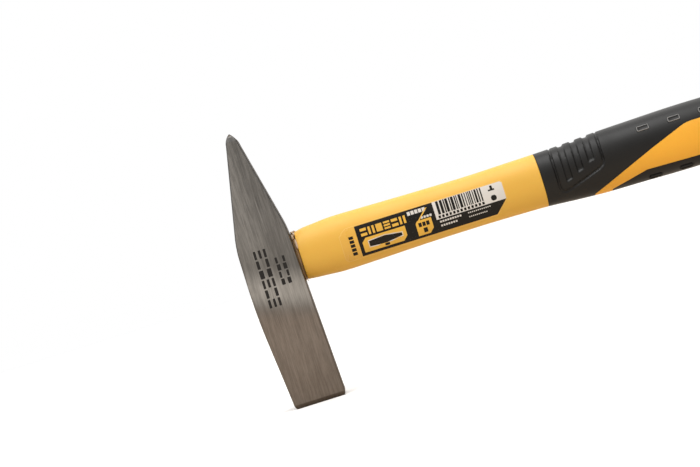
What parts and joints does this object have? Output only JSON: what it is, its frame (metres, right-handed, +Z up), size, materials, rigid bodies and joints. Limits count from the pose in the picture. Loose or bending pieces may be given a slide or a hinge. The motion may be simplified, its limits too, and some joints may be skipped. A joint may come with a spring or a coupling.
{
  "type": "brick hammer",
  "caption": "Brick hammer with a square striking face and a chisel blade, on a fibreglass-cored plastic handle with an overmoulded rubber grip and a hanging hole at the butt.",
  "frame": {"origin": "the point of the striking face straight below the centre of the eye", "axes": "+Z up the head from the striking face to the blade, +X along the handle away from the head, Y from cheek to cheek with the label on the -Y side"},
  "size_m": [0.3045, 0.0252, 0.1402],
  "materials": {
    "forged_steel": "ground and lightly oiled, grain along the head",
    "resin": "cast, milky",
    "fibreglass": "pultruded",
    "jacket_plastic": "glossy moulded",
    "grip_rubber": "fine matt texture",
    "inlay_rubber": "satin",
    "stud_plastic": "glossy",
    "label_print": "printed film",
    "bush_plastic": "satin moulded"
  },
  "bodies": {
    "root": {"head": "forged_steel", "eye_epoxy": "resin", "core_rod": "fibreglass", "handle_jacket": "jacket_plastic", "grip_sleeve": "grip_rubber", "grip_inlay": "inlay_rubber", "upper_studs": "stud_plastic", "lower_studs": "stud_plastic", "label_film": "label_print", "hang_bush": "bush_plastic"}
  },
  "joints": []
}
